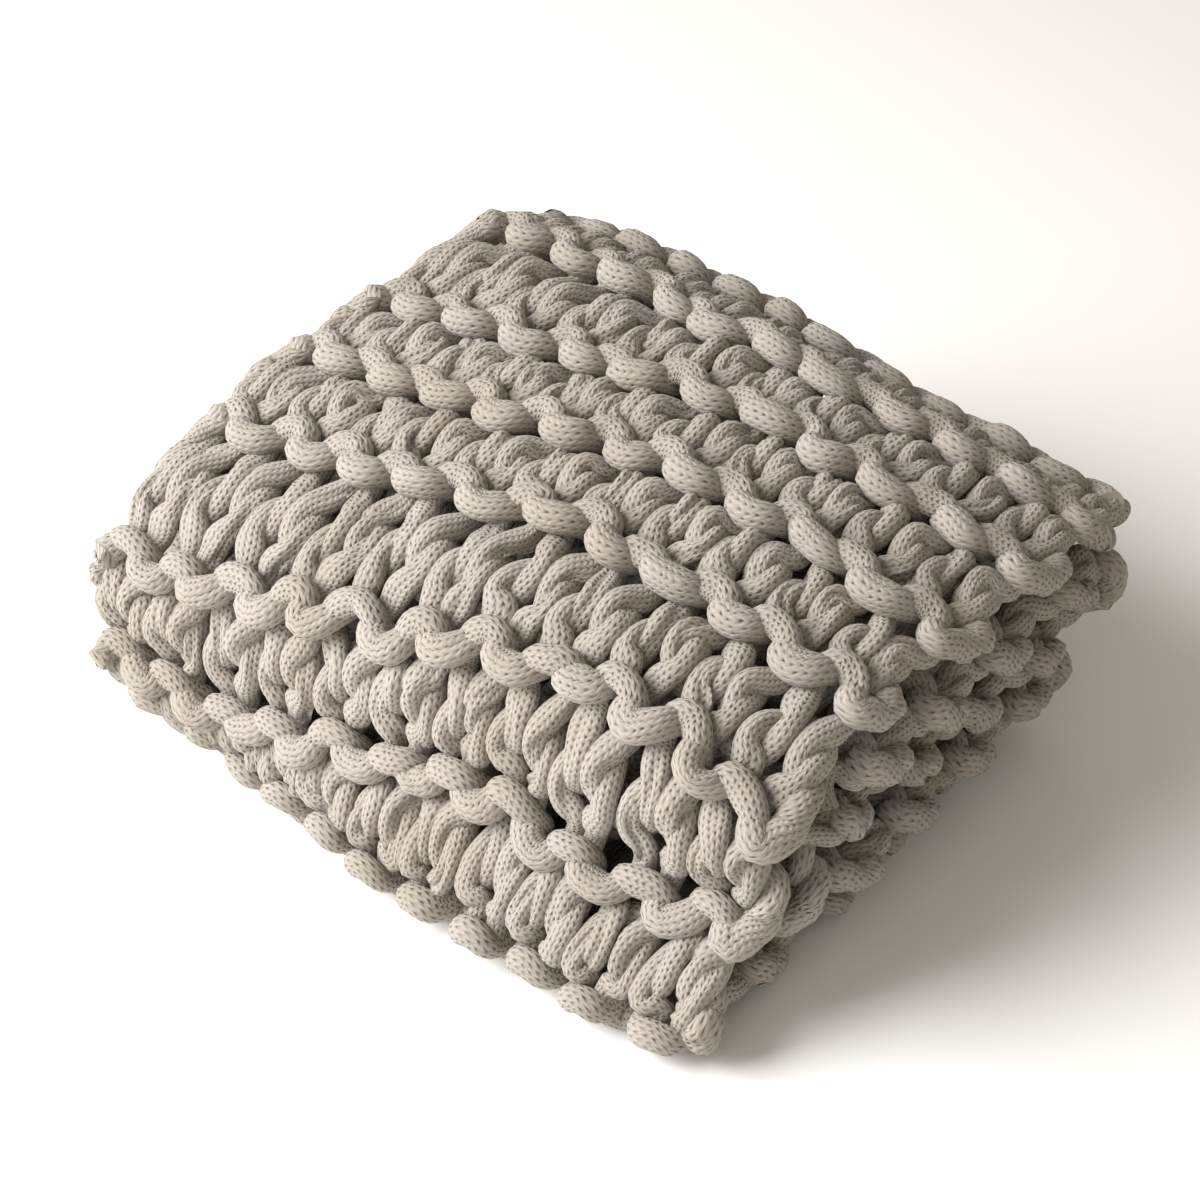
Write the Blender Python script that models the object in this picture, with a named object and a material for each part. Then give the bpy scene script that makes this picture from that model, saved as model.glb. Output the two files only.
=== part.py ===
"""A chunky blanket knitted in garter stitch, folded into a soft pile of five layers.

The cloth is one sheet. Its section runs from a free end at the top of the back, over the top,
down the front, under the pile and then back and forth inside. Every ridge of the knitting
crosses the pile from side to side, and the loops of a ridge are raised in the sheet's face.
"""
import math

import bpy
import numpy as np

# The cloth, in metres. A half thickness is measured from the middle of the sheet to a face.
WALES = 12
WALE_PITCH = 0.0445
HALF_WIDTH = WALES * WALE_PITCH / 2
RIGHT_EDGE = HALF_WIDTH - 0.009
LEFT_EDGE = HALF_WIDTH - 0.018
FLOOR_HALF = 0.021
HIDDEN_HALF = 0.018
GROOVE_HALF = 0.012
FREE_END_HALF = 0.009
LEAST_HALF = 0.006
BEND_SHARE = 0.72

# The loops of a ridge, and the legs of the stitches between two ridges
RIDGE_RISE = 0.0090
LEG_RISE = 0.0045
LOOP_HANG = 0.0060
LEG_LEAN = 0.0050
EDGE_NUB = 0.0070
EDGE_ROUND = 0.0040
EDGE_SHARE = 0.8

# Points to a stitch across the cloth, on the faces that show, on the others and inside
FINE_STEPS = 4
PLAIN_STEPS = 1
INNER_STEPS = 0.5

# The pile: its top sinks and its underside lifts and draws in towards the ends of the ridges
TOP_Z = 0.255
SINK_REACH = 0.250
SINK_EVEN = 0.029
SINK_RIGHT = 0.024
SINK_TWIST = 0.024
SINK_FRONT = 0.011
CURL_LEFT = 0.018
CURL_POWER = 10
TWIST_REACH = 0.220
TWIST_CENTRE = 0.033
LIFT_LEFT = 0.055
LIFT_LEFT_FROM = 0.090
LIFT_RIGHT = 0.008
LIFT_RIGHT_FROM = 0.210
INSET_LEFT = 0.065
INSET_RIGHT = 0.040
INSET_TOP = 0.150
SKEW = 0.11
SKEW_ENDS = 0.120
SKEW_FADES_OVER = 0.110
WANDER = 0.0035
SIDE_SHIFT = 0.006
SIDE_SHIFT_LENGTH = 0.83
SEED = 7

# Places where the pile is pushed out of its even form: centre, reach and move, in metres
PUSH_FULL_Z = 0.080
PUSH_COLUMNS = ("x", "y", "z", "reach_x", "reach_y", "reach_z", "move_x", "move_y", "move_z")
PUSHES = {
    "back left corner sinks": (-0.300, 0.250, 0.240, 0.170, 0.085, 0.200, 0.014, -0.008, -0.062),
    "back right corner is drawn in": (0.280, 0.240, 0.200, 0.160, 0.070, 0.200, -0.004, -0.008, -0.004),
    "front right toe spreads": (0.250, -0.190, 0.000, 0.110, 0.090, 0.055, 0.012, -0.014, 0.000),
    "front right face is drawn in": (0.270, -0.190, 0.095, 0.110, 0.080, 0.040, 0.000, 0.018, 0.000),
    "front left face is drawn in": (-0.270, -0.230, 0.085, 0.090, 0.110, 0.065, 0.022, -0.010, 0.000),
    "front left toe tucks under": (-0.250, -0.210, 0.015, 0.130, 0.080, 0.050, 0.012, 0.026, 0.000),
}

# The section: places that the middle of the cloth passes, in metres, and the heading there in
# degrees, where 0 is to the back, 90 up, 180 to the front and 270 down.
KNOT_COLUMNS = ("y", "z", "heading")
KNOTS = {
    "free end at the back": (0.230, 0.190, 112),
    "back brow": (0.200, 0.221, 150),
    "crown": (0.075, 0.240, 180),
    "front brow": (-0.150, 0.197, 206),
    "front face": (-0.191, 0.100, 268),
    "front toe": (-0.203, 0.030, 292),
    "underside begins": (-0.165, FLOOR_HALF, 360),
    "underside ends": (0.150, FLOOR_HALF, 360),
    "low back fold": (0.176, 0.0465, 450),
    "second layer begins": (0.150, 0.072, 540),
    "second layer ends": (-0.118, 0.067, 540),
    "inner front fold": (-0.143, 0.092, 450),
    "third layer begins": (-0.118, 0.117, 360),
    "third layer ends": (0.148, 0.123, 360),
    "high back fold": (0.174, 0.149, 450),
    "fourth layer begins": (0.148, 0.175, 540),
    "free end inside": (-0.122, 0.166, 548),
}
STEPS_TO_A_KNOT = 60

# Ridges in the order in which the section meets them, each with its distance from the last,
# and the first from the free end. Past the front toe the knitting is even.
RIDGE_GAPS = {
    "back edge": 0.036,
    "fifth": 0.066,
    "fourth": 0.073,
    "third": 0.077,
    "second": 0.079,
    "front edge": 0.105,
    "front face": 0.100,
    "front toe": 0.056,
}
EVEN_GAP = 0.068

# The rows of points at a ridge that shows: where a row lies beside the crest, and how much of
# the ridge and of the legs rises there.
FINE_ROW_COLUMNS = ("offset", "ridge", "leg")
FINE_ROWS = (
    (-0.023, 0.05, 0.7),
    (-0.011, 0.75, 0.1),
    (0.000, 1.00, 0.0),
    (0.011, 0.70, 0.1),
    (0.023, 0.05, 0.7),
)
SHOWN_STRETCHES = (
    ("free end at the back", "front toe"),
    ("low back fold", "low back fold"),
    ("high back fold", "high back fold"),
)
SHOWN_MARGIN = 0.045
FIRST_ROW = 0.010

WOOL_COLOUR = (0.46, 0.43, 0.36, 1.0)
WOOL_ROUGHNESS = 0.95


def direction(degrees):
    """Unit direction in the section for a heading."""
    return np.array((math.cos(math.radians(degrees)), math.sin(math.radians(degrees))))


def section_curve():
    """Cubic pieces between the knots, which leave and meet each knot along its heading."""
    knots = [dict(zip(KNOT_COLUMNS, row)) for row in KNOTS.values()]
    t = np.linspace(0, 1, STEPS_TO_A_KNOT, endpoint=False)[:, None]
    pieces = []
    for one, two in zip(knots, knots[1:]):
        start = np.array((one["y"], one["z"]))
        stop = np.array((two["y"], two["z"]))
        turn = math.radians(two["heading"] - one["heading"])
        pull = np.linalg.norm(stop - start) * (1 + 0.052 * turn ** 2)
        piece = (2 * t ** 3 - 3 * t ** 2 + 1) * start + (3 * t ** 2 - 2 * t ** 3) * stop
        piece += (t ** 3 - 2 * t ** 2 + t) * pull * direction(one["heading"])
        piece += (t ** 3 - t ** 2) * pull * direction(two["heading"])
        pieces.append(piece)
    pieces.append([[knots[-1]["y"], knots[-1]["z"]]])
    line = np.concatenate(pieces)
    length = np.concatenate(([0], np.cumsum(np.linalg.norm(np.diff(line, axis=0), axis=1))))
    places = {name: length[k * STEPS_TO_A_KNOT] for k, name in enumerate(KNOTS)}
    return line, length, places


LINE, LENGTH, PLACES = section_curve()
SLOPE = np.gradient(LINE, LENGTH, axis=0)
HEADING = np.unwrap(np.arctan2(SLOPE[:, 1], SLOPE[:, 0]))
BEND = np.gradient(HEADING, LENGTH)


def section_at(s):
    """Place, outward direction and bend of the section at the distance s along the cloth."""
    y = np.interp(s, LENGTH, LINE[:, 0])
    z = np.interp(s, LENGTH, LINE[:, 1])
    heading = np.interp(s, LENGTH, HEADING)
    return y, z, math.sin(heading), -math.cos(heading), np.interp(s, LENGTH, BEND)


def ridge_places():
    """Distances of all the ridges from the free end at the back."""
    places = list(np.cumsum(list(RIDGE_GAPS.values())))
    while places[-1] + 1.5 * EVEN_GAP < LENGTH[-1]:
        places.append(places[-1] + EVEN_GAP)
    return places


RIDGES = ridge_places()
RIDGE_WAVES = np.random.RandomState(SEED).uniform(-1, 1, (len(RIDGES), 3))


def wander(s, x):
    """How far a ridge strays along the cloth: three slow waves, blended from ridge to ridge."""
    a, b, c = (np.interp(s, RIDGES, RIDGE_WAVES[:, k]) for k in range(3))
    across = x / HALF_WIDTH
    return WANDER * (a * across + b * np.cos(2.2 * across) + c * np.sin(4.1 * across))


def pile_form(x, y, z, s):
    """The even section is pressed down towards the ends of its ridges and drawn in below."""
    across = x / SINK_REACH
    left = np.clip((-x - LIFT_LEFT_FROM) / (HALF_WIDTH - LIFT_LEFT_FROM), 0, None)
    right = np.clip((x - LIFT_RIGHT_FROM) / (HALF_WIDTH - LIFT_RIGHT_FROM), 0, None)
    lift = LIFT_LEFT * left ** 1.5 + LIFT_RIGHT * right ** 2
    depth = (y - TWIST_CENTRE) / TWIST_REACH
    sink = SINK_EVEN * across ** 2 + SINK_RIGHT * across ** 3
    sink = sink + SINK_TWIST * across * depth - SINK_FRONT * across ** 2 * depth
    sink = sink + CURL_LEFT * np.clip(-x / HALF_WIDTH, 0, None) ** CURL_POWER
    height = lift + z * (1 - (sink + lift) / TOP_Z)
    drawn = np.clip(1 - z / INSET_TOP, 0, 1) ** 2 * np.abs(across) ** 3
    inset_right = INSET_RIGHT * np.clip(1 + y / TWIST_REACH, 0, 2)
    inset = np.where(x > 0, inset_right, INSET_LEFT) * drawn
    shift = SIDE_SHIFT * math.sin(2 * math.pi * s / SIDE_SHIFT_LENGTH)
    skew = SKEW * (1 - np.clip((y - SKEW_ENDS) / SKEW_FADES_OVER, 0, 1))
    even = np.stack((x - np.sign(x) * inset + shift, y + skew * x, height), axis=-1)
    placed = even.copy()
    for values in PUSHES.values():
        push = dict(zip(PUSH_COLUMNS, values))
        away = [(even[:, k] - push[axis]) / push["reach_" + axis] for k, axis in enumerate("xyz")]
        weight = np.exp(-(away[0] ** 2 + away[1] ** 2 + away[2] ** 2))[:, None]
        placed[:, :2] += weight * (push["move_x"], push["move_y"])
        placed[:, 2] += weight[:, 0] * push["move_z"] * np.clip(z / PUSH_FULL_Z, 0, 1)
    return placed


def is_shown(s):
    """Whether the outer face is seen here, on the top, the front or a fold at the back."""
    return any(PLACES[a] - SHOWN_MARGIN < s < PLACES[b] + SHOWN_MARGIN for a, b in SHOWN_STRETCHES)


def is_on_floor(s):
    """Whether the cloth lies flat on what the pile rests on."""
    return PLACES["underside begins"] <= s <= PLACES["underside ends"]


def row_of(s, ridge=0.0, leg=0.0, nub=0.0, shown=False, free=False):
    """One row of points across the cloth: its place, what rises on it and what kind it is."""
    return {"s": s, "ridge": ridge, "leg": leg, "nub": nub, "shown": shown, "free": free}


def row_list():
    """All rows from the free end at the back to the free end inside."""
    stop = LENGTH[-1]
    rows = [row_of(0.0, shown=True, free=True), row_of(FIRST_ROW, leg=0.5, shown=True)]
    for ridge, following in zip(RIDGES, RIDGES[1:] + [stop]):
        shown = is_shown(ridge)
        middle = (ridge + following) / 2
        if shown:
            for values in FINE_ROWS:
                fine = dict(zip(FINE_ROW_COLUMNS, values))
                rows.append(row_of(ridge + fine["offset"], fine["ridge"], fine["leg"], fine["ridge"], True))
        else:
            rows.append(row_of(ridge, nub=1.0))
        rows.append(row_of(middle, leg=1.0, shown=shown or is_shown(middle)))
    rows.append(row_of(stop, free=True))
    return rows


def limited(half, bend, side):
    """A half thickness, less where the face lies on the inside of a tight bend."""
    if side * bend < -1e-6:
        half = np.minimum(half, BEND_SHARE / abs(bend))
    return np.maximum(half, LEAST_HALF)


def face_row(row, steps, side):
    """Points of one row on the outer face (side 1) or the inner one (side -1), left to right."""
    s = row["s"]
    x = np.linspace(-HALF_WIDTH, HALF_WIDTH, int(WALES * steps) + 1)
    y, z, out_y, out_z, bend = section_at(s)
    edge = np.abs(x) / HALF_WIDTH
    along = np.zeros(len(x))
    half = np.full(len(x), HIDDEN_HALF)
    flat = side > 0 and is_on_floor(s)
    if side > 0 and row["shown"]:
        phase = (x + HALF_WIDTH) / WALE_PITCH
        loop = 0.5 - 0.5 * np.cos(2 * math.pi * phase)
        legs = 0.5 - 0.5 * np.cos(4 * math.pi * phase)
        half = GROOVE_HALF + RIDGE_RISE * row["ridge"] * (0.45 + 0.55 * loop) + LEG_RISE * row["leg"] * legs
        along = LOOP_HANG * row["ridge"] * (loop - 0.5)
        x = x + LEG_LEAN * row["leg"] * (1 - edge ** 2)
    if flat:
        half = np.full(len(x), FLOOR_HALF)
    elif row["free"]:
        half = np.full(len(x), FREE_END_HALF)
    else:
        half = np.where(edge > 0.99, EDGE_SHARE * half, half)
        along = along + wander(s, x)
    half = limited(half, bend, side)
    x = np.clip(x, -LEFT_EDGE, RIGHT_EDGE) * (1 + EDGE_NUB / HALF_WIDTH * row["nub"] * edge ** 6)
    return pile_form(x, y + side * half * out_y - along * out_z, z + side * half * out_z + along * out_y, s)


def rim_point(row, edge):
    """The middle of the cloth's thickness at one side, standing proud where a ridge ends."""
    y, z, out_y, out_z, bend = section_at(row["s"])
    x = edge + math.copysign(EDGE_ROUND + EDGE_NUB * row["nub"], edge)
    return pile_form(np.array([x]), np.array([y]), np.array([z]), row["s"])


def bridge(one, two):
    """Faces between two rows of points whose counts may differ."""
    faces = []
    i = 0
    j = 0
    while i < len(one) - 1 or j < len(two) - 1:
        lead = (i + 1) * (len(two) - 1) - (j + 1) * (len(one) - 1)
        if lead == 0:
            faces.append((one[i], one[i + 1], two[j + 1], two[j]))
            i += 1
            j += 1
        elif lead < 0:
            faces.append((one[i], one[i + 1], two[j]))
            i += 1
        else:
            faces.append((one[i], two[j + 1], two[j]))
            j += 1
    return faces


def free_end(ring):
    """Faces that close the sheet at a free end."""
    outer, inner, left, right = ring
    sides = [(outer[-1], right[0], inner[-1]), (inner[0], left[0], outer[0])]
    return bridge(outer, inner) + sides


def sheet_mesh():
    """Points and faces of the closed sheet: two faces, rounded sides and two free ends."""
    blocks = []
    rings = []
    count = 0
    for row in row_list():
        ring = []
        outer = face_row(row, FINE_STEPS if row["shown"] else PLAIN_STEPS, 1)
        for block in (outer, face_row(row, INNER_STEPS, -1), rim_point(row, -LEFT_EDGE), rim_point(row, RIGHT_EDGE)):
            ring.append(list(range(count, count + len(block))))
            blocks.append(block)
            count += len(block)
        rings.append(ring)
    faces = free_end(rings[0])
    for (outer, inner, left, right), (outer2, inner2, left2, right2) in zip(rings, rings[1:]):
        faces += bridge(outer2, outer)
        faces += bridge(inner, inner2)
        faces += [(outer[0], left[0], left2[0], outer2[0]), (left[0], inner[0], inner2[0], left2[0])]
        faces += [(outer2[-1], right2[0], right[0], outer[-1]), (right2[0], inner2[-1], inner[-1], right[0])]
    faces += [face[::-1] for face in free_end(rings[-1])]
    return np.concatenate(blocks), faces


def wool():
    """Undyed stone-coloured wool, without gloss."""
    material = bpy.data.materials.new("stone wool")
    material.use_nodes = True
    shader = material.node_tree.nodes["Principled BSDF"]
    shader.inputs["Base Color"].default_value = WOOL_COLOUR
    shader.inputs["Roughness"].default_value = WOOL_ROUGHNESS
    shader.inputs["Metallic"].default_value = 0.0
    return material


def make_blanket():
    """The folded blanket, centred over the origin with its underside at height 0."""
    points, faces = sheet_mesh()
    middle = (points.min(axis=0) + points.max(axis=0)) / 2
    points -= (middle[0], middle[1], points[:, 2].min())
    mesh = bpy.data.meshes.new("blanket")
    mesh.from_pydata(points.tolist(), [], faces)
    mesh.validate()
    mesh.shade_smooth()
    mesh.materials.append(wool())
    blanket = bpy.data.objects.new("blanket", mesh)
    bpy.context.scene.collection.objects.link(blanket)
    return blanket


for old in list(bpy.data.objects):
    bpy.data.objects.remove(old, do_unlink=True)
make_blanket()
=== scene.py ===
import bpy
import numpy as np
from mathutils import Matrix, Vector


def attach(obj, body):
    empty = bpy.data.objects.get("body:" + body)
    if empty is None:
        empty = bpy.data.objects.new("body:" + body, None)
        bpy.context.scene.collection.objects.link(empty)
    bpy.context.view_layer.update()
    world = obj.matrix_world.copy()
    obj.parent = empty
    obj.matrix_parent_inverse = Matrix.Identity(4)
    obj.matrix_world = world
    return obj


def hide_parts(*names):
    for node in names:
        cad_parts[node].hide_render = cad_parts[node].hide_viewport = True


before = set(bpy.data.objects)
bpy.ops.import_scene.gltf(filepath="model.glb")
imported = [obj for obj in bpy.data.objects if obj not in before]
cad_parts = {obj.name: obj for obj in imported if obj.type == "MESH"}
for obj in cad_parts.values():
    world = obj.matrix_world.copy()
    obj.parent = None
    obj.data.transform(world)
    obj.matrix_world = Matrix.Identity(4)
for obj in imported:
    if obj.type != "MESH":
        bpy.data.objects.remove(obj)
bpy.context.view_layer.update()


# The folded cloth: one long strip of garter stitch, knitted by hand on very thick needles and
# laid back and forth in five layers. It starts with a free end at the top of the back, runs over
# the top, down the front and under the pile, and ends inside.
WALES = 12
WALE_PITCH = 0.0445
HALF_WIDTH = WALES * WALE_PITCH / 2
LAYER_HALF = 0.021
KNOT_COLUMNS = ("y", "z", "heading")
KNOTS = {
    "free end at the back": (0.230, 0.190, 112),
    "back brow": (0.200, 0.221, 150),
    "crown": (0.075, 0.240, 180),
    "front brow": (-0.150, 0.197, 206),
    "front face": (-0.191, 0.100, 268),
    "front toe": (-0.203, 0.030, 292),
    "underside begins": (-0.165, LAYER_HALF, 360),
    "underside ends": (0.150, LAYER_HALF, 360),
    "low back fold": (0.176, 0.0465, 450),
    "second layer begins": (0.150, 0.072, 540),
    "second layer ends": (-0.118, 0.067, 540),
    "inner front fold": (-0.143, 0.092, 450),
    "third layer begins": (-0.118, 0.117, 360),
    "third layer ends": (0.148, 0.123, 360),
    "high back fold": (0.174, 0.149, 450),
    "fourth layer begins": (0.148, 0.175, 540),
    "free end inside": (-0.122, 0.166, 548),
}
STEPS_TO_A_KNOT = 60
# How much longer the cubic pieces pull at a knot, for each radian squared that the cloth turns
PULL_GROWS = 0.052
# Where the middle of the finished pile lies in these coordinates
PILE_MIDDLE = (0.00638, -0.00714, 0.0)


def direction(degrees):
    """Unit direction in the section for a heading: 0 to the back, 90 up, 180 to the front."""
    return np.array((np.cos(np.radians(degrees)), np.sin(np.radians(degrees))))


def section_curve():
    """Cubic pieces between the knots, which leave and meet each knot along its heading."""
    knots = [dict(zip(KNOT_COLUMNS, row)) for row in KNOTS.values()]
    t = np.linspace(0, 1, STEPS_TO_A_KNOT, endpoint=False)[:, None]
    pieces = []
    for one, two in zip(knots, knots[1:]):
        start = np.array((one["y"], one["z"]))
        stop = np.array((two["y"], two["z"]))
        turn = np.radians(two["heading"] - one["heading"])
        pull = np.linalg.norm(stop - start) * (1 + PULL_GROWS * turn ** 2)
        piece = (2 * t ** 3 - 3 * t ** 2 + 1) * start + (3 * t ** 2 - 2 * t ** 3) * stop
        piece += (t ** 3 - 2 * t ** 2 + t) * pull * direction(one["heading"])
        piece += (t ** 3 - t ** 2) * pull * direction(two["heading"])
        pieces.append(piece)
    pieces.append([[knots[-1]["y"], knots[-1]["z"]]])
    line = np.concatenate(pieces)
    length = np.concatenate(([0], np.cumsum(np.linalg.norm(np.diff(line, axis=0), axis=1))))
    return line, length


LINE, LENGTH = section_curve()
SLOPE = np.gradient(LINE, LENGTH, axis=0)
HEADING = np.unwrap(np.arctan2(SLOPE[:, 1], SLOPE[:, 0]))
BEND = np.gradient(HEADING, LENGTH)

# How the pile leaves its even section: it sinks and draws in towards the ends of its ridges
TOP_Z = 0.255
SINK_REACH = 0.250
SINK_EVEN = 0.029
SINK_RIGHT = 0.024
SINK_TWIST = 0.024
SINK_FRONT = 0.011
CURL_LEFT = 0.018
CURL_POWER = 10
TWIST_REACH = 0.220
TWIST_CENTRE = 0.033
LIFT_LEFT = 0.055
LIFT_LEFT_FROM = 0.090
LIFT_RIGHT = 0.008
LIFT_RIGHT_FROM = 0.210
INSET_LEFT = 0.065
INSET_RIGHT = 0.040
INSET_TOP = 0.150
SKEW = 0.11
SKEW_ENDS = 0.120
SKEW_FADES_OVER = 0.110
SIDE_SHIFT = 0.006
SIDE_SHIFT_LENGTH = 0.83
PUSH_FULL_Z = 0.080
PUSH_COLUMNS = ("x", "y", "z", "reach_x", "reach_y", "reach_z", "move_x", "move_y", "move_z")
PUSHES = {
    "back left corner sinks": (-0.300, 0.250, 0.240, 0.150, 0.160, 0.200, 0.028, -0.012, -0.044),
    "left side is drawn in": (-0.300, 0.080, 0.240, 0.110, 0.090, 0.200, 0.012, 0.000, 0.000),
    "back left swells": (-0.250, 0.150, 0.220, 0.100, 0.080, 0.100, 0.000, 0.004, 0.020),
    "back right dips": (0.080, 0.230, 0.220, 0.140, 0.070, 0.100, 0.000, -0.002, -0.020),
    "high back fold swells": (0.260, 0.220, 0.120, 0.110, 0.080, 0.045, -0.002, 0.018, 0.018),
    "right foot spreads": (0.270, -0.060, 0.050, 0.110, 0.180, 0.060, 0.010, 0.000, 0.000),
    "front toe spreads": (0.080, -0.230, 0.010, 0.120, 0.080, 0.060, 0.000, -0.024, 0.000),
    "front right toe spreads": (0.250, -0.190, 0.000, 0.130, 0.090, 0.060, -0.008, -0.034, 0.000),
    "front right face is drawn in": (0.270, -0.190, 0.095, 0.110, 0.080, 0.040, 0.000, 0.018, 0.000),
    "front left face comes forward": (-0.270, -0.230, 0.085, 0.090, 0.110, 0.065, 0.000, -0.008, 0.000),
    "front left toe tucks under": (-0.250, -0.210, 0.015, 0.130, 0.080, 0.050, 0.012, 0.030, 0.000),
}


def pile_form(x, y, z, s):
    """The even section is pressed down towards the ends of its ridges and drawn in below."""
    across = x / SINK_REACH
    left = np.clip((-x - LIFT_LEFT_FROM) / (HALF_WIDTH - LIFT_LEFT_FROM), 0, None)
    right = np.clip((x - LIFT_RIGHT_FROM) / (HALF_WIDTH - LIFT_RIGHT_FROM), 0, None)
    lift = LIFT_LEFT * left ** 1.5 + LIFT_RIGHT * right ** 2
    depth = (y - TWIST_CENTRE) / TWIST_REACH
    sink = SINK_EVEN * across ** 2 + SINK_RIGHT * across ** 3
    sink = sink + SINK_TWIST * across * depth - SINK_FRONT * across ** 2 * depth
    sink = sink + CURL_LEFT * np.clip(-x / HALF_WIDTH, 0, None) ** CURL_POWER
    height = lift + z * (1 - (sink + lift) / TOP_Z)
    drawn = np.clip(1 - z / INSET_TOP, 0, 1) ** 2 * np.abs(across) ** 3
    inset_right = INSET_RIGHT * np.clip(1 + y / TWIST_REACH, 0, 2)
    inset = np.where(x > 0, inset_right, INSET_LEFT) * drawn
    shift = SIDE_SHIFT * np.sin(2 * np.pi * s / SIDE_SHIFT_LENGTH)
    skew = SKEW * (1 - np.clip((y - SKEW_ENDS) / SKEW_FADES_OVER, 0, 1))
    even = np.stack((x - np.sign(x) * inset + shift, y + skew * x, height), axis=-1)
    placed = even.copy()
    for values in PUSHES.values():
        push = dict(zip(PUSH_COLUMNS, values))
        away = [(even[:, k] - push[axis]) / push["reach_" + axis] for k, axis in enumerate("xyz")]
        weight = np.exp(-(away[0] ** 2 + away[1] ** 2 + away[2] ** 2))[:, None]
        placed[:, :2] += weight * (push["move_x"], push["move_y"])
        placed[:, 2] += weight[:, 0] * push["move_z"] * np.clip(z / PUSH_FULL_Z, 0, 1)
    return placed


# On the inner side of a fold the yarn stays within a share of the bend's radius, less some room
BEND_SHARE = 0.72
BEND_ROOM = 0.008
LEAST_OUT = 0.003
LEAST_BEND = 0.001


def on_cloth(x, s, out):
    """Points at x across and s along the cloth, and out from the middle of its thickness, in space."""
    y = np.interp(s, LENGTH, LINE[:, 0])
    z = np.interp(s, LENGTH, LINE[:, 1])
    heading = np.interp(s, LENGTH, HEADING)
    past = s - np.clip(s, 0, LENGTH[-1])
    bend = np.interp(s, LENGTH, BEND)
    room = np.maximum(BEND_SHARE / np.maximum(np.abs(bend), LEAST_BEND) - BEND_ROOM, LEAST_OUT)
    out = np.where(out * bend < 0, np.clip(out, -room, room), out)
    y = y + out * np.sin(heading) + past * np.cos(heading)
    z = z - out * np.cos(heading) + past * np.sin(heading)
    return pile_form(x, y, z, s) - PILE_MIDDLE


# The courses of knitting: each ridge is two courses, with the loops of one hung over those of
# the other on the outer face, and half way between two ridges the same happens on the inner face.
RIDGE_GAPS = {
    "back edge": 0.036,
    "fifth": 0.066,
    "fourth": 0.081,
    "third": 0.072,
    "second": 0.076,
    "front edge": 0.105,
    "front face": 0.100,
    "front toe": 0.056,
}
# Where the ridges that show bend, in metres along the cloth, at seven places from left to right
BEND_PLACES = (-0.250, -0.160, -0.080, 0.000, 0.080, 0.160, 0.250)
RIDGE_BENDS = {
    "back edge": (0.000, -0.004, -0.006, 0.000, 0.004, 0.004, -0.004),
    "fifth": (-0.006, -0.010, -0.006, 0.002, 0.008, 0.006, -0.014),
    "fourth": (0.012, 0.004, 0.000, 0.004, 0.000, 0.002, -0.016),
    "third": (0.004, 0.006, 0.005, 0.000, -0.002, 0.000, 0.006),
    "second": (0.002, 0.004, 0.005, 0.000, 0.000, 0.000, 0.002),
    "front edge": (0.002, 0.009, 0.000, -0.008, -0.018, -0.026, -0.005),
    "front face": (0.000, 0.012, -0.002, -0.018, -0.028, -0.010, -0.018),
    "front toe": (0.000, 0.000, 0.002, 0.004, 0.008, 0.004, 0.000),
}
EVEN_GAP = 0.068
EDGE_COURSE = 0.020
LAST_COURSE = 0.012


def ridge_places():
    """Distances of all the ridges from the free end at the back."""
    places = list(np.cumsum(list(RIDGE_GAPS.values())))
    while places[-1] + 1.5 * EVEN_GAP < LENGTH[-1]:
        places.append(places[-1] + EVEN_GAP)
    return np.array(places)


def level_places():
    """Levels where loops interlock: each ridge, the middle of each gap, and one past either end."""
    middles = (RIDGES[1:] + RIDGES[:-1]) / 2
    inner = np.concatenate(([RIDGES[0] - EDGE_COURSE], middles, [LENGTH[-1] - LAST_COURSE]))
    return np.sort(np.concatenate((RIDGES, inner)))


RIDGES = ridge_places()
LEVELS = level_places()
WANDER = 0.0020
WANDER_SEED = 7
# The waves' angles at the edges, in radians
FIRST_WAVE = 2.2
SECOND_WAVE = 4.1
RIDGE_WAVES = np.random.RandomState(WANDER_SEED).uniform(-1, 1, (len(RIDGES), 3))


def wander(s, x):
    """How far a ridge strays along the cloth: its bends, and a slant and two slow waves on top."""
    a, b, c = (np.interp(s, RIDGES, RIDGE_WAVES[:, k]) for k in range(3))
    across = x / HALF_WIDTH
    strays = WANDER * (a * across + b * np.cos(FIRST_WAVE * across) + c * np.sin(SECOND_WAVE * across))
    bends = np.zeros((len(RIDGES), len(BEND_PLACES)))
    bends[:len(RIDGE_BENDS)] = list(RIDGE_BENDS.values())
    for column, near in zip(bends.T, np.eye(len(BEND_PLACES))):
        strays = strays + np.interp(s, RIDGES, column) * np.interp(x, BEND_PLACES, near)
    return strays


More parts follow.
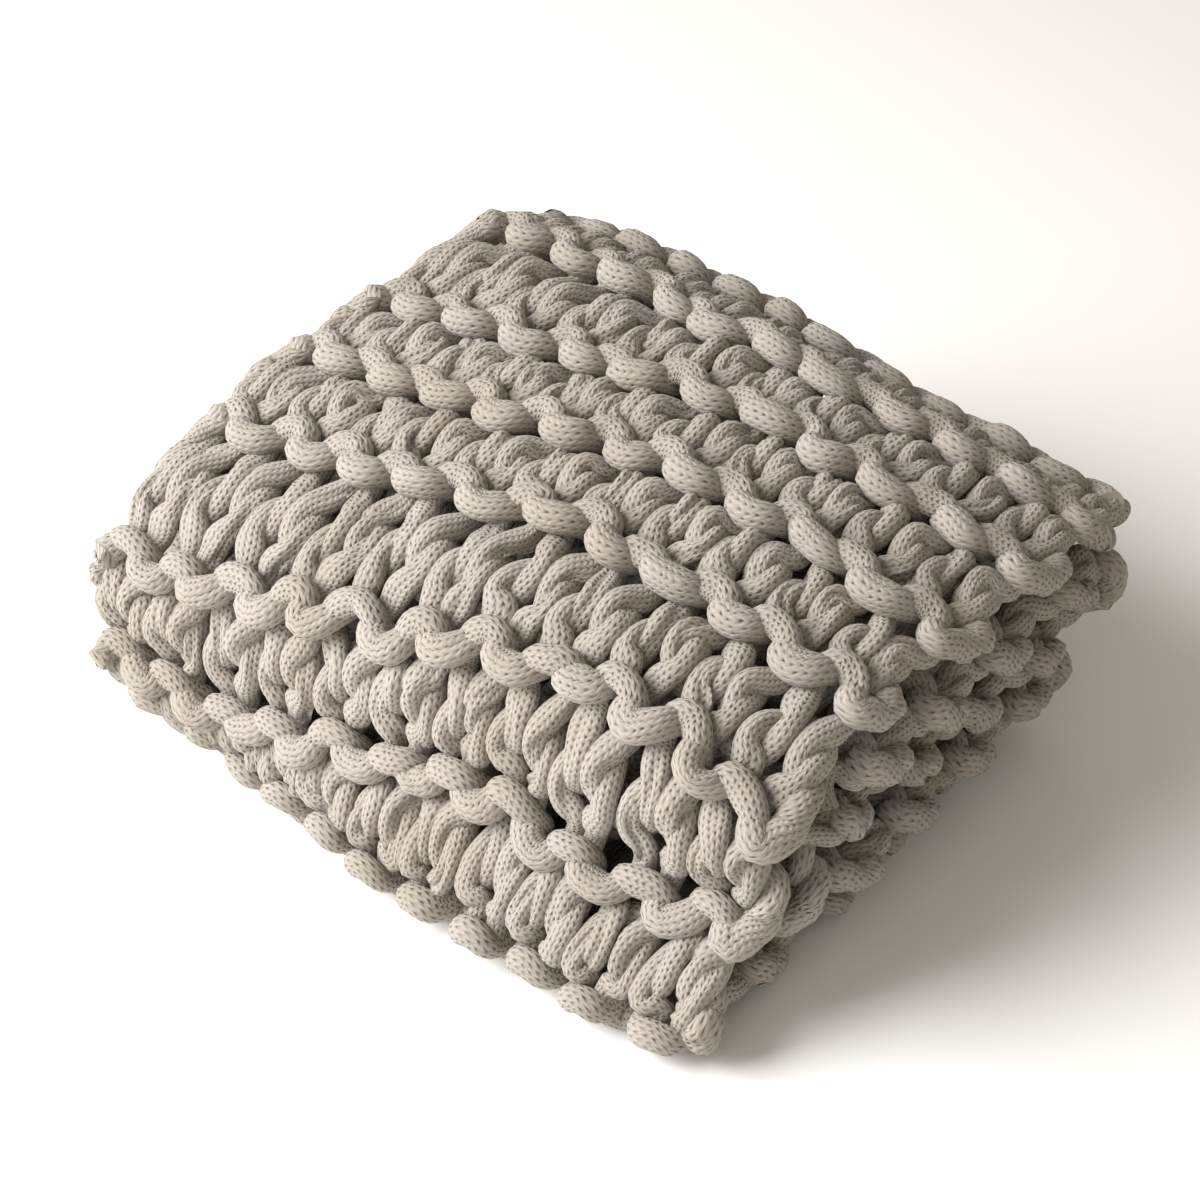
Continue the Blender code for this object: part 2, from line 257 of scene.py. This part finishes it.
# The stitches: half a loop, from its lowest point to the middle of its leg. Across is in stitch
# pitches from the loop's middle, up in loop heights, share in the distance to the next level, and
# out in the depth of a loop. Wide and thick are the yarn's half widths there, in its radius, and
# fold is how far it is folded in on itself lengthways.
LOOP_COLUMNS = ("across", "up", "share", "out", "wide", "thick", "fold")
RIDGE_LOOP = (
    (0.000, -1.00, 0.00, 1.00, 1.06, 0.98, 0.30),
    (0.155, -0.85, 0.00, 1.00, 1.04, 0.98, 0.35),
    (0.275, -0.15, 0.00, 0.60, 0.90, 0.92, 0.45),
    (0.325, 0.70, 0.00, -0.15, 0.74, 0.84, 0.60),
    (0.320, 1.40, 0.05, -0.40, 0.86, 0.78, 0.80),
    (0.265, 0.00, 0.50, 0.10, 1.12, 0.76, 1.00),
)
MIDDLE_LOOP = (
    (0.000, -2.20, 0.00, 1.00, 1.00, 0.86, 0.40),
    (0.150, -1.95, 0.00, 0.92, 0.96, 0.86, 0.40),
    (0.290, -1.05, 0.00, 0.35, 0.84, 0.88, 0.60),
    (0.355, 0.10, 0.00, -0.20, 0.80, 0.88, 0.80),
    (0.350, 1.50, 0.02, -0.36, 0.84, 0.84, 1.00),
    (0.265, 0.00, 0.50, 0.00, 1.09, 0.78, 1.00),
)
LOOP_UP = 0.0078
# Half way between two ridges the loops reach past each other the further, the wider the gap is
USUAL_COURSE = 0.036
LOOP_OUT = 0.0112
YARN_RADIUS = 0.0102
# A course has this many whole loops, and the turns at its ends fill the rest of the width
STITCHES = WALES - 1
# On the outer face the hanging loops are fat and proud, and the heads above them thin and low.
# Both are what stands further out than this, in the depth of a loop.
STANDS_OUT = 0.3
HANGING = {"proud": 1.08, "fat": 1.03}
HEAD = {"proud": 0.92, "fat": 0.92}

# The selvedge: the yarn's way round the edge from one course to the next, close by the last leg.
# Beyond is in stitch pitches past the last loop, and face and side say where the yarn's own outer
# side looks: out of the cloth or out of the edge. The other columns are those of a loop.
TURN_COLUMNS = ("beyond", "up", "share", "out", "wide", "thick", "fold", "face", "side")
TURN = (
    (-0.07, -1.00, 0.00, 0.98, 1.04, 1.00, 0.30, 1.00, 0.00),
    (0.03, -0.75, 0.00, 0.82, 1.04, 1.00, 0.30, 1.00, 0.00),
    (0.10, 0.30, 0.00, 0.40, 1.04, 1.00, 0.40, 0.94, 0.34),
    (0.15, 0.00, 0.20, 0.02, 1.14, 1.00, 0.60, 0.60, 0.80),
    (0.14, 0.00, 0.35, 0.00, 1.18, 1.00, 0.60, 0.00, 1.00),
    (0.15, 0.00, 0.52, -0.02, 1.14, 1.00, 0.60, -0.60, 0.80),
    (0.13, -2.00, 1.00, -0.40, 0.98, 0.98, 0.40, -0.94, 0.34),
    (0.04, -1.30, 1.00, -0.78, 0.98, 1.00, 0.30, -1.00, 0.00),
    (-0.07, -1.00, 1.00, -0.98, 1.04, 1.00, 0.30, -1.00, 0.00),
)
# The turns reach this far beyond the last loop, and lie further in on the left than on the right
EDGE_BEYOND = 0.15
LEFT_SHORTER = 0.19
RIGHT_SHORTER = 0.08
STITCH_PITCH = (HALF_WIDTH - YARN_RADIUS) / (STITCHES / 2 + EDGE_BEYOND)
# Hand knitting is uneven: each place strays by a seeded draw, in metres for one deviation
STRAY = {"across": 0.0032, "along": 0.0034, "out": 0.0018}
STRAY_MOST = 2
STRAY_SEED = 13
STRAY_NODES = np.linspace(-HALF_WIDTH, HALF_WIDTH, 2 * WALES + 1)
STRAY_DRAWS = np.random.RandomState(STRAY_SEED).normal(size=(3, len(LEVELS), len(STRAY_NODES)))


def strayed(x, level):
    """Seeded unevenness of hand knitting at a place across a level, the same for both its courses."""
    low = np.clip(np.floor(level).astype(int), 0, len(LEVELS) - 2)
    share = np.clip(level - low, 0, 1)
    found = []
    grid = (x - STRAY_NODES[0]) / (STRAY_NODES[1] - STRAY_NODES[0])
    column = np.clip(np.floor(grid).astype(int), 0, len(STRAY_NODES) - 2)
    part = np.clip(grid - column, 0, 1)
    for amount, draws in zip(STRAY.values(), STRAY_DRAWS):
        near = draws[low, column] * (1 - part) + draws[low, column + 1] * part
        far = draws[low + 1, column] * (1 - part) + draws[low + 1, column + 1] * part
        found.append(amount * np.clip(near * (1 - share) + far * share, -STRAY_MOST, STRAY_MOST))
    return found


def course_rows(course):
    """Control rows of one course in working order: the loop's columns, then face, side and course."""
    across = LOOP_COLUMNS.index("across")
    face = 1 if course % 2 == 0 else -1
    below, above = (RIDGE_LOOP, MIDDLE_LOOP)[::face]
    rise = np.array(below)
    # The upper half of a leg is the other loop upside down, with its share counted from the top
    fall = np.array(above)[-2::-1] * (1, -1, -1, -1, 1, 1, 1) + (0, 0, 1, 0, 0, 0, 0)
    fall[:, across] = 0.5 - fall[:, across]
    leg = np.concatenate((rise, fall))
    back = leg[-2:0:-1].copy()
    back[:, across] = 1 - back[:, across]
    stitch = np.concatenate((leg, back))
    rows = np.tile(stitch, (STITCHES, 1))
    rows[:, across] += np.repeat(np.arange(STITCHES), len(stitch)) - STITCHES / 2
    rows[:, across] *= STITCH_PITCH
    rows = rows[1:]
    rows[:, LOOP_COLUMNS.index("out")] *= face
    rows = rows[::face]
    ones = np.ones(len(rows))
    return np.column_stack((rows, face * ones, 0 * ones, course * ones))


def turn_rows(course):
    """Control rows of the way round an edge, from the end of a course up to the next."""
    rows = np.array(TURN)
    beyond = TURN_COLUMNS.index("beyond")
    face = 1 if course % 2 == 0 else -1
    edge = STITCHES / 2 - (LEFT_SHORTER if face < 0 else RIGHT_SHORTER)
    rows[:, beyond] = face * (edge + rows[:, beyond]) * STITCH_PITCH
    for name in ("out", "face", "side"):
        rows[:, TURN_COLUMNS.index(name)] *= face
    return np.column_stack((rows, np.full(len(rows), course)))


def yarn_controls():
    """Control points of the whole yarn in cloth measures, its form there, and where courses start."""
    blocks = []
    begins = {}
    for course in range(len(LEVELS) - 2, -1, -1):
        begins[course] = sum(len(block) for block in blocks)
        blocks.append(course_rows(course))
        if course > 0:
            blocks.append(turn_rows(course))
    x, up, share, out, wide, thick, fold, face, side, course = np.concatenate(blocks).T
    course = course.astype(int)
    gap = LEVELS[course + 1] - LEVELS[course]
    stray_x, stray_s, stray_out = strayed(x, course + 1 - share)
    at_middle = ((share < 0.5) == (course % 2 == 1)) & (np.abs(up) > 0) & (side == 0)
    reach = LOOP_UP * np.where(at_middle, np.sqrt(gap / USUAL_COURSE), 1)
    s = LEVELS[course + 1] - share * gap - up * reach + stray_s
    s = s + wander(s, x)
    hangs = (out > STANDS_OUT) & (share < 0.5)
    heads = (out > STANDS_OUT) & (share > 0.5)
    proud = np.where(hangs, HANGING["proud"], np.where(heads, HEAD["proud"], 1))
    fat = np.where(hangs, HANGING["fat"], np.where(heads, HEAD["fat"], 1))
    out = out * proud * LOOP_OUT + stray_out
    return np.stack((x + stray_x, s, out, wide * fat, thick * fat, fold, face, side), axis=1), begins


def smooth_through(points, steps):
    """A curve through the points: cubic pieces with the slopes of the neighbouring chords."""
    chord = np.linalg.norm(np.diff(points[:, :3], axis=0), axis=1)
    knot = np.concatenate(([0], np.cumsum(np.sqrt(chord))))
    slope = np.gradient(points, knot, axis=0)
    t = np.tile(np.linspace(0, 1, steps, endpoint=False), len(points) - 1)[:, None]
    k = np.repeat(np.arange(len(points) - 1), steps)
    step = (knot[1:] - knot[:-1])[k][:, None]
    curve = (2 * t ** 3 - 3 * t ** 2 + 1) * points[k] + (3 * t ** 2 - 2 * t ** 3) * points[k + 1]
    curve += (t ** 3 - 2 * t ** 2 + t) * step * slope[k] + (t ** 3 - t ** 2) * step * slope[k + 1]
    return np.concatenate((curve, points[-1:]))


def unit(vectors):
    """The vectors at length 1."""
    return vectors / np.linalg.norm(vectors, axis=1)[:, None]


CURVE_STEPS = 10
CONTROLS, BEGINS = yarn_controls()
CURVE = smooth_through(CONTROLS, CURVE_STEPS)
MIDDLE = on_cloth(CURVE[:, 0], CURVE[:, 1], CURVE[:, 2])
ON_FACE = on_cloth(CURVE[:, 0], CURVE[:, 1], np.full(len(CURVE), LEAST_OUT))
OUTWARD = unit(ON_FACE - on_cloth(CURVE[:, 0], CURVE[:, 1], np.zeros(len(CURVE))))
# The yarn's own outer side: out of the cloth in the courses, and out of the edge in the turns
OWN_SIDE = CURVE[:, 6:7] * OUTWARD + CURVE[:, 7:8] * (1, 0, 0)
YARN_AT = np.concatenate(([0], np.cumsum(np.linalg.norm(np.diff(MIDDLE, axis=0), axis=1))))
# The soft tube is stiff enough to round off kinks: its way is evened over some steps of 1 mm
EVEN_STEP = 0.001
EVENED_OVER = 13
EVEN_AT = np.arange(0, YARN_AT[-1], EVEN_STEP)
WEIGHTS = np.hanning(EVENED_OVER) / np.hanning(EVENED_OVER).sum()


def evened(column):
    """Values along the yarn at even steps, each the weighted mean of its neighbours."""
    even = np.interp(EVEN_AT, YARN_AT, column)
    return np.convolve(np.pad(even, EVENED_OVER // 2, mode="edge"), WEIGHTS, "valid")


FORM = np.stack([evened(column) for column in np.column_stack((MIDDLE, OWN_SIDE, CURVE[:, 3:6])).T])

# The waves in the yarn's form: their lengths in metres, and what brings their mean near to 1
WAVE_LENGTHS = (0.31, 0.17, 0.083, 0.047)
WAVE_SCALE = 1.6


def slow_waves(length, seed, waves=WAVE_LENGTHS):
    """A seeded sum of waves along the yarn, from about -1 to 1."""
    phase = np.random.RandomState(seed).uniform(0, 2 * np.pi, len(waves))
    found = sum(np.sin(2 * np.pi * length / wave + shift) for wave, shift in zip(waves, phase))
    return found / len(waves) * WAVE_SCALE


# Along the soft tube: how far it swells and flattens, and the folds that run lengthways near its
# outer and inner sides and drift round it a little. Angles, drifts and widths are in degrees.
SWELL = 0.05
SWELL_SEED = 5
FLATTEN = 0.10
FLATTEN_SEED = 9
DRIFT_LENGTHS = (0.23, 0.11)
# Columns of small stitches round the tube, and the angle past which a mesh edge is sharp
COLUMNS_AROUND = 15
SHARP_FROM = np.radians(80)
FOLD_COLUMNS = ("angle", "drift", "depth", "width", "from", "seed")
FOLDS = (
    (0, 55, 0.50, 20, -0.55, 31),
    (180, 55, 0.50, 20, -0.55, 47),
    (60, 70, 0.30, 24, 0.10, 61),
    (235, 70, 0.30, 24, 0.10, 83),
)
# The rings' points stand closer on the outer and inner sides, where the folds are
CROWD = 0.22


def yarn_tube(name, first, last, step, sides, material):
    """A closed tube along the yarn through some courses, with the knit's own map: around and along."""
    begin = YARN_AT[BEGINS[last] * CURVE_STEPS]
    end = YARN_AT[BEGINS[first - 1] * CURVE_STEPS] if first > 0 else YARN_AT[-1]
    along = np.linspace(begin, end, int((end - begin) / step) + 1)
    near = along[:, None] + (-step / 2, 0, step / 2)
    before, here, after = (
        np.stack([np.interp(near[:, k], EVEN_AT, column) for column in FORM], axis=1) for k in range(3)
    )
    ahead = unit(after[:, :3] - before[:, :3])
    normal = here[:, 3:6] - np.sum(here[:, 3:6] * ahead, axis=1)[:, None] * ahead
    normal = unit(normal)
    sideways = np.cross(ahead, normal)
    even = np.linspace(0, 2 * np.pi, sides + 1)
    turns = even - CROWD * np.sin(2 * even)
    angle = turns[:-1]
    reach = YARN_RADIUS * (1 + SWELL * slow_waves(along, SWELL_SEED)[:, None]) * np.ones(sides)
    for values in FOLDS:
        fold = dict(zip(FOLD_COLUMNS, values))
        depth = fold["depth"] * np.clip(slow_waves(along, fold["seed"]) - fold["from"], 0, 1) * here[:, 8]
        drift = fold["drift"] * slow_waves(along, fold["seed"] + 1, DRIFT_LENGTHS)
        place = np.radians(fold["angle"] + drift)
        off = (angle[None, :] - place[:, None] + np.pi) % (2 * np.pi) - np.pi
        reach = reach * (1 - depth[:, None] * np.exp(-(off / np.radians(fold["width"])) ** 2))
    flat = FLATTEN * slow_waves(along, FLATTEN_SEED)[:, None]
    thick = (here[:, 7:8] * (1 - flat) * reach * np.cos(angle))[:, :, None] * normal[:, None, :]
    wide = (here[:, 6:7] * (1 + flat) * reach * np.sin(angle))[:, :, None] * sideways[:, None, :]
    points = (here[:, None, :3] + thick + wide).reshape(-1, 3)
    points[:, 2] = np.maximum(points[:, 2], 0)
    return tube_object(name, points, along, turns / (2 * np.pi), material)


def tube_object(name, points, along, turns, material):
    """A mesh of rings of points, closed at both ends, with its map in turns and metres."""
    sides = len(turns) - 1
    rings = len(along)
    one = np.arange(rings - 1)[:, None] * sides
    here = np.arange(sides)[None, :]
    after = (here + 1) % sides
    quads = np.stack((one + here, one + after, one + sides + after, one + sides + here), axis=-1)
    quads = quads.reshape(-1, 4)
    ends = np.concatenate((np.arange(sides)[::-1], (rings - 1) * sides + np.arange(sides)))
    corners = np.concatenate((quads.ravel(), ends))
    totals = np.concatenate((np.full(len(quads), 4), [sides, sides]))
    starts = np.concatenate(([0], np.cumsum(totals)[:-1]))
    mesh = bpy.data.meshes.new(name)
    mesh.vertices.add(len(points))
    mesh.vertices.foreach_set("co", points.astype(np.float32).ravel())
    mesh.loops.add(len(corners))
    mesh.loops.foreach_set("vertex_index", corners.astype(np.int32))
    mesh.polygons.add(len(totals))
    mesh.polygons.foreach_set("loop_start", starts.astype(np.int32))
    around = turns[np.stack((here, here + 1, here + 1, here), axis=-1)] + 0 * one[:, :, None]
    forward = np.stack((along[:-1], along[:-1], along[1:], along[1:]), axis=-1)[:, None, :] + 0 * around
    # The ends' map lies in the middle of a column of stitches, where there is no dot
    ends_map = np.full((2 * sides, 2), (0.5 / COLUMNS_AROUND, 0))
    uv = np.concatenate((np.stack((around, forward), axis=-1).reshape(-1, 2), ends_map))
    mesh.uv_layers.new(name="yarn").data.foreach_set("uv", uv.astype(np.float32).ravel())
    mesh.update(calc_edges=True)
    mesh.validate()
    mesh.shade_smooth()
    mesh.set_sharp_from_angle(angle=SHARP_FROM)
    mesh.materials.append(material)
    yarn = bpy.data.objects.new(name, mesh)
    bpy.context.scene.collection.objects.link(yarn)
    return yarn


# The yarn's stuff: a soft tube, machine-knitted from fine wool in a stone shade. Its small
# stitches stand in columns along the tube, with a dot of painted shade in each dip between two.
YARN_SHADE = "#AFA89F"
# The dark that the yarn's colour goes towards for its painted shade in dips and grooves, and for its
# random fine flecks
YARN_FLECK_AND_PAINTED_SHADE = "#3F3321"
YARN_WARM = "#9A907C"
ROW_PITCH = 0.0042
BUMP_HEIGHT = 0.0011
# How far the small stitches are pulled about, in their own widths
PULLED = 0.9


def linear(shade):
    """The linear colour of an sRGB hex value."""
    parts = [int(shade[k:k + 2], 16) / 255 for k in (1, 3, 5)]
    return tuple(c / 12.92 if c <= 0.04045 else ((c + 0.055) / 1.055) ** 2.4 for c in parts) + (1.0,)


def add(tree, kind, links=(), **settings):
    """A node of a kind with its settings; links are (socket, other node, its output)."""
    node = tree.nodes.new(kind)
    for name, value in settings.items():
        if name.startswith("in_"):
            key = name[3:]
            socket = node.inputs[int(key)] if key.isdigit() else node.inputs[key.replace("_", " ")]
            socket.default_value = value
        else:
            setattr(node, name, value)
    for socket, other, output in links:
        tree.links.new(other.outputs[output], node.inputs[socket])
    return node


def knitted_tube_wool():
    """Columns of small V stitches round the tube, with painted shade in dips and grooves, uneven in tone,
    matt, with a short nap.
    """
    material = bpy.data.materials.new("knitted tube wool")
    material.use_nodes = True
    tree = material.node_tree
    shader = tree.nodes["Principled BSDF"]
    shader.inputs["Roughness"].default_value = 0.92
    shader.inputs["Specular IOR Level"].default_value = 0.25
    shader.inputs["Sheen Weight"].default_value = 0.18
    shader.inputs["Sheen Roughness"].default_value = 0.6
    place = add(tree, "ShaderNodeTexCoord")
    size = add(tree, "ShaderNodeMapping", [("Vector", place, "UV")],
               in_Scale=(COLUMNS_AROUND, 1 / ROW_PITCH, 1))
    pull = add(tree, "ShaderNodeTexNoise", [("Vector", place, "Object")], in_Scale=75.0, in_Detail=1.0)
    off = add(tree, "ShaderNodeVectorMath", [(0, pull, "Color")], operation="SUBTRACT",
              in_1=(0.5, 0.5, 0.5))
    pulled = add(tree, "ShaderNodeVectorMath", [(0, off, 0), (2, size, 0)], operation="MULTIPLY_ADD",
                 in_1=(PULLED, PULLED, 0.0))
    split = add(tree, "ShaderNodeSeparateXYZ", [("Vector", pulled, 0)])
    dip = add(tree, "ShaderNodeMath", [(0, split, "X")], operation="PINGPONG", in_1=0.5)
    half = add(tree, "ShaderNodeMath", [(0, split, "X")], operation="ROUND")
    stagger = add(tree, "ShaderNodeMath", [(0, half, 0)], operation="MULTIPLY", in_1=0.5)
    slant = add(tree, "ShaderNodeMath", [(0, dip, 0), (2, split, "Y")], operation="MULTIPLY_ADD", in_1=1.0)
    row = add(tree, "ShaderNodeMath", [(0, slant, 0), (1, stagger, 0)], operation="ADD")
    leg = add(tree, "ShaderNodeMath", [(0, row, 0)], operation="PINGPONG", in_1=0.5)
    near_dip = add(tree, "ShaderNodeMapRange", [("Value", dip, 0)], interpolation_type="SMOOTHSTEP",
                   in_From_Max=0.22, in_To_Min=1.0, in_To_Max=0.0)
    near_row = add(tree, "ShaderNodeMapRange", [("Value", leg, 0)], interpolation_type="SMOOTHSTEP",
                   in_From_Min=0.04, in_From_Max=0.22, in_To_Min=1.0, in_To_Max=0.0)
    patch = add(tree, "ShaderNodeTexNoise", [("Vector", place, "Object")], in_Scale=130.0, in_Detail=1.0)
    open_knit = add(tree, "ShaderNodeMapRange", [("Value", patch, 0)], in_From_Min=0.38, in_From_Max=0.64,
                    in_To_Min=0.30, in_To_Max=1.0)
    # The dots are painted shade in the dips where a column's edge meets a row, stronger in some patches
    # than in others; they also sink the bump there
    meeting = add(tree, "ShaderNodeMath", [(0, near_dip, 0), (1, near_row, 0)], operation="MULTIPLY")
    dot = add(tree, "ShaderNodeMath", [(0, meeting, 0), (1, open_knit, 0)], operation="MULTIPLY")
    column = add(tree, "ShaderNodeMapRange", [("Value", dip, 0)], interpolation_type="SMOOTHSTEP",
                 in_From_Max=0.42)
    strand = add(tree, "ShaderNodeMath", [(0, leg, 0)], operation="MULTIPLY", in_1=0.9)
    raised = add(tree, "ShaderNodeMath", [(0, column, 0), (2, strand, 0)], operation="MULTIPLY_ADD",
                 in_1=0.40)
    height = add(tree, "ShaderNodeMath", [(0, raised, 0), (1, dot, 0)], operation="SUBTRACT")
    spot = add(tree, "ShaderNodeTexNoise", [("Vector", place, "Object")], in_Scale=14.0, in_Detail=3.0)
    fleck = add(tree, "ShaderNodeTexNoise", [("Vector", place, "Object")], in_Scale=420.0, in_Detail=2.0)
    warm = add(tree, "ShaderNodeMapRange", [("Value", spot, 0)], in_From_Min=0.42, in_From_Max=0.75,
               in_To_Max=0.55)
    base = add(tree, "ShaderNodeMix", [("Factor", warm, 0)], data_type="RGBA")
    base.inputs[6].default_value = linear(YARN_SHADE)
    base.inputs[7].default_value = linear(YARN_WARM)
    # Painted shade in the grooves between the columns of small stitches: the lower the raised height, the
    # further the colour goes towards the dark, up to 0.42
    painted_groove_shade = add(tree, "ShaderNodeMapRange", [("Value", raised, 0)], in_From_Min=0.0, in_From_Max=0.7,
                 in_To_Min=0.42, in_To_Max=0.0)
    # Painted shade of the dots and the grooves together; the random fine flecks are added to it below
    painted_shade = add(tree, "ShaderNodeMath", [(0, dot, 0), (1, painted_groove_shade, 0)], operation="MAXIMUM")
    flecks_and_painted_shade = add(tree, "ShaderNodeMath", [(0, fleck, 0), (2, painted_shade, 0)], operation="MULTIPLY_ADD",
                  in_1=0.16, use_clamp=True)
    shade = add(tree, "ShaderNodeMix", [("Factor", flecks_and_painted_shade, 0), (6, base, 2)], data_type="RGBA")
    shade.inputs[7].default_value = linear(YARN_FLECK_AND_PAINTED_SHADE)
    tree.links.new(shade.outputs[2], shader.inputs["Base Color"])
    bump = add(tree, "ShaderNodeBump", [("Height", height, 0)], in_Distance=BUMP_HEIGHT, in_Strength=0.9)
    tree.links.new(bump.outputs["Normal"], shader.inputs["Normal"])
    return material


wool = knitted_tube_wool()

# The lengths of yarn: each runs through some courses and ends at an edge, where the next begins.
# Those on the outside are made of closer rings than those that lie inside the pile.
LENGTH_COLUMNS = ("first", "last", "step", "sides")
YARN_LENGTHS = {
    "yarn_top": (0, 7, 0.0038, 20),
    "yarn_front": (8, 15, 0.0038, 20),
    "yarn_underside": (16, 29, 0.0042, 12),
    "yarn_second_layer": (30, 37, 0.0045, 12),
    "yarn_third_layer": (38, 47, 0.0045, 12),
    "yarn_fourth_layer": (48, 55, 0.0045, 12),
}
for name, values in YARN_LENGTHS.items():
    piece = dict(zip(LENGTH_COLUMNS, values))
    yarn = yarn_tube(name, piece["first"], piece["last"], piece["step"], piece["sides"], wool)
    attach(yarn, "root")
    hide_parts("blanket")


# The floor and the light: a pale table, a broad soft lamp in front on the left, a weak one on the
# right, and a bright, slightly warm room.
FLOOR_SHADE = "#F4F3F1"
FLOOR_SIZE = 12.0
FLOOR_BELOW = 0.0005
ROOM_SHADE = "#FFF6EA"
ROOM_STRENGTH = 0.40
floor_mesh = bpy.data.meshes.new("floor")
corner = FLOOR_SIZE / 2
floor_corners = [(-corner, -corner, 0), (corner, -corner, 0), (corner, corner, 0), (-corner, corner, 0)]
floor_mesh.from_pydata(floor_corners, [], [(0, 1, 2, 3)])
floor_paint = bpy.data.materials.new("matt white paint")
floor_paint.use_nodes = True
floor_paint.node_tree.nodes["Principled BSDF"].inputs["Base Color"].default_value = linear(FLOOR_SHADE)
floor_paint.node_tree.nodes["Principled BSDF"].inputs["Roughness"].default_value = 0.9
floor_mesh.materials.append(floor_paint)
floor = bpy.data.objects.new("floor", floor_mesh)
floor.location.z = -FLOOR_BELOW
bpy.context.scene.collection.objects.link(floor)

world = bpy.context.scene.world or bpy.data.worlds.new("room")
bpy.context.scene.world = world
world.use_nodes = True
world.node_tree.nodes["Background"].inputs["Color"].default_value = linear(ROOM_SHADE)
world.node_tree.nodes["Background"].inputs["Strength"].default_value = ROOM_STRENGTH

TARGET = Vector((-0.006, 0.040, 0.060))
LAMP_COLUMNS = ("place", "size", "watts")
LAMPS = {
    "key lamp": ((-1.5, -1.9, 1.85), 2.1, 184.0),
    "fill lamp": ((1.0, -2.4, 1.4), 1.6, 8.0),
}
for name, values in LAMPS.items():
    row = dict(zip(LAMP_COLUMNS, values))
    lamp = bpy.data.lights.new(name, "AREA")
    lamp.size = row["size"]
    lamp.energy = row["watts"]
    holder = bpy.data.objects.new(name, lamp)
    holder.location = row["place"]
    holder.rotation_euler = (TARGET - Vector(row["place"])).to_track_quat("-Z", "Y").to_euler()
    bpy.context.scene.collection.objects.link(holder)

# The camera: above the front right corner, at the height and distance of the photograph. The
# middle of the lens lies a little off the middle of the picture, in its pixels.
AZIMUTH = np.radians(40.3)
ELEVATION = np.radians(39.0)
DISTANCE = 1.8
FRAME_SIDE = 1200
FOCAL_PIXELS = 2646
CENTRE_PIXELS = (41, 31)
camera = bpy.data.cameras.new("camera")
camera.sensor_width = 36.0
camera.lens = FOCAL_PIXELS / FRAME_SIDE * camera.sensor_width
camera.shift_x = -CENTRE_PIXELS[0] / FRAME_SIDE
camera.shift_y = CENTRE_PIXELS[1] / FRAME_SIDE
camera.clip_end = 50
level = np.cos(ELEVATION)
back = Vector((np.sin(AZIMUTH) * level, -np.cos(AZIMUTH) * level, np.sin(ELEVATION)))
viewer = bpy.data.objects.new("camera", camera)
viewer.location = TARGET + back * DISTANCE
viewer.rotation_euler = (-back).to_track_quat("-Z", "Y").to_euler()
bpy.context.scene.collection.objects.link(viewer)
bpy.context.scene.camera = viewer
bpy.context.scene.view_settings.view_transform = "Standard"
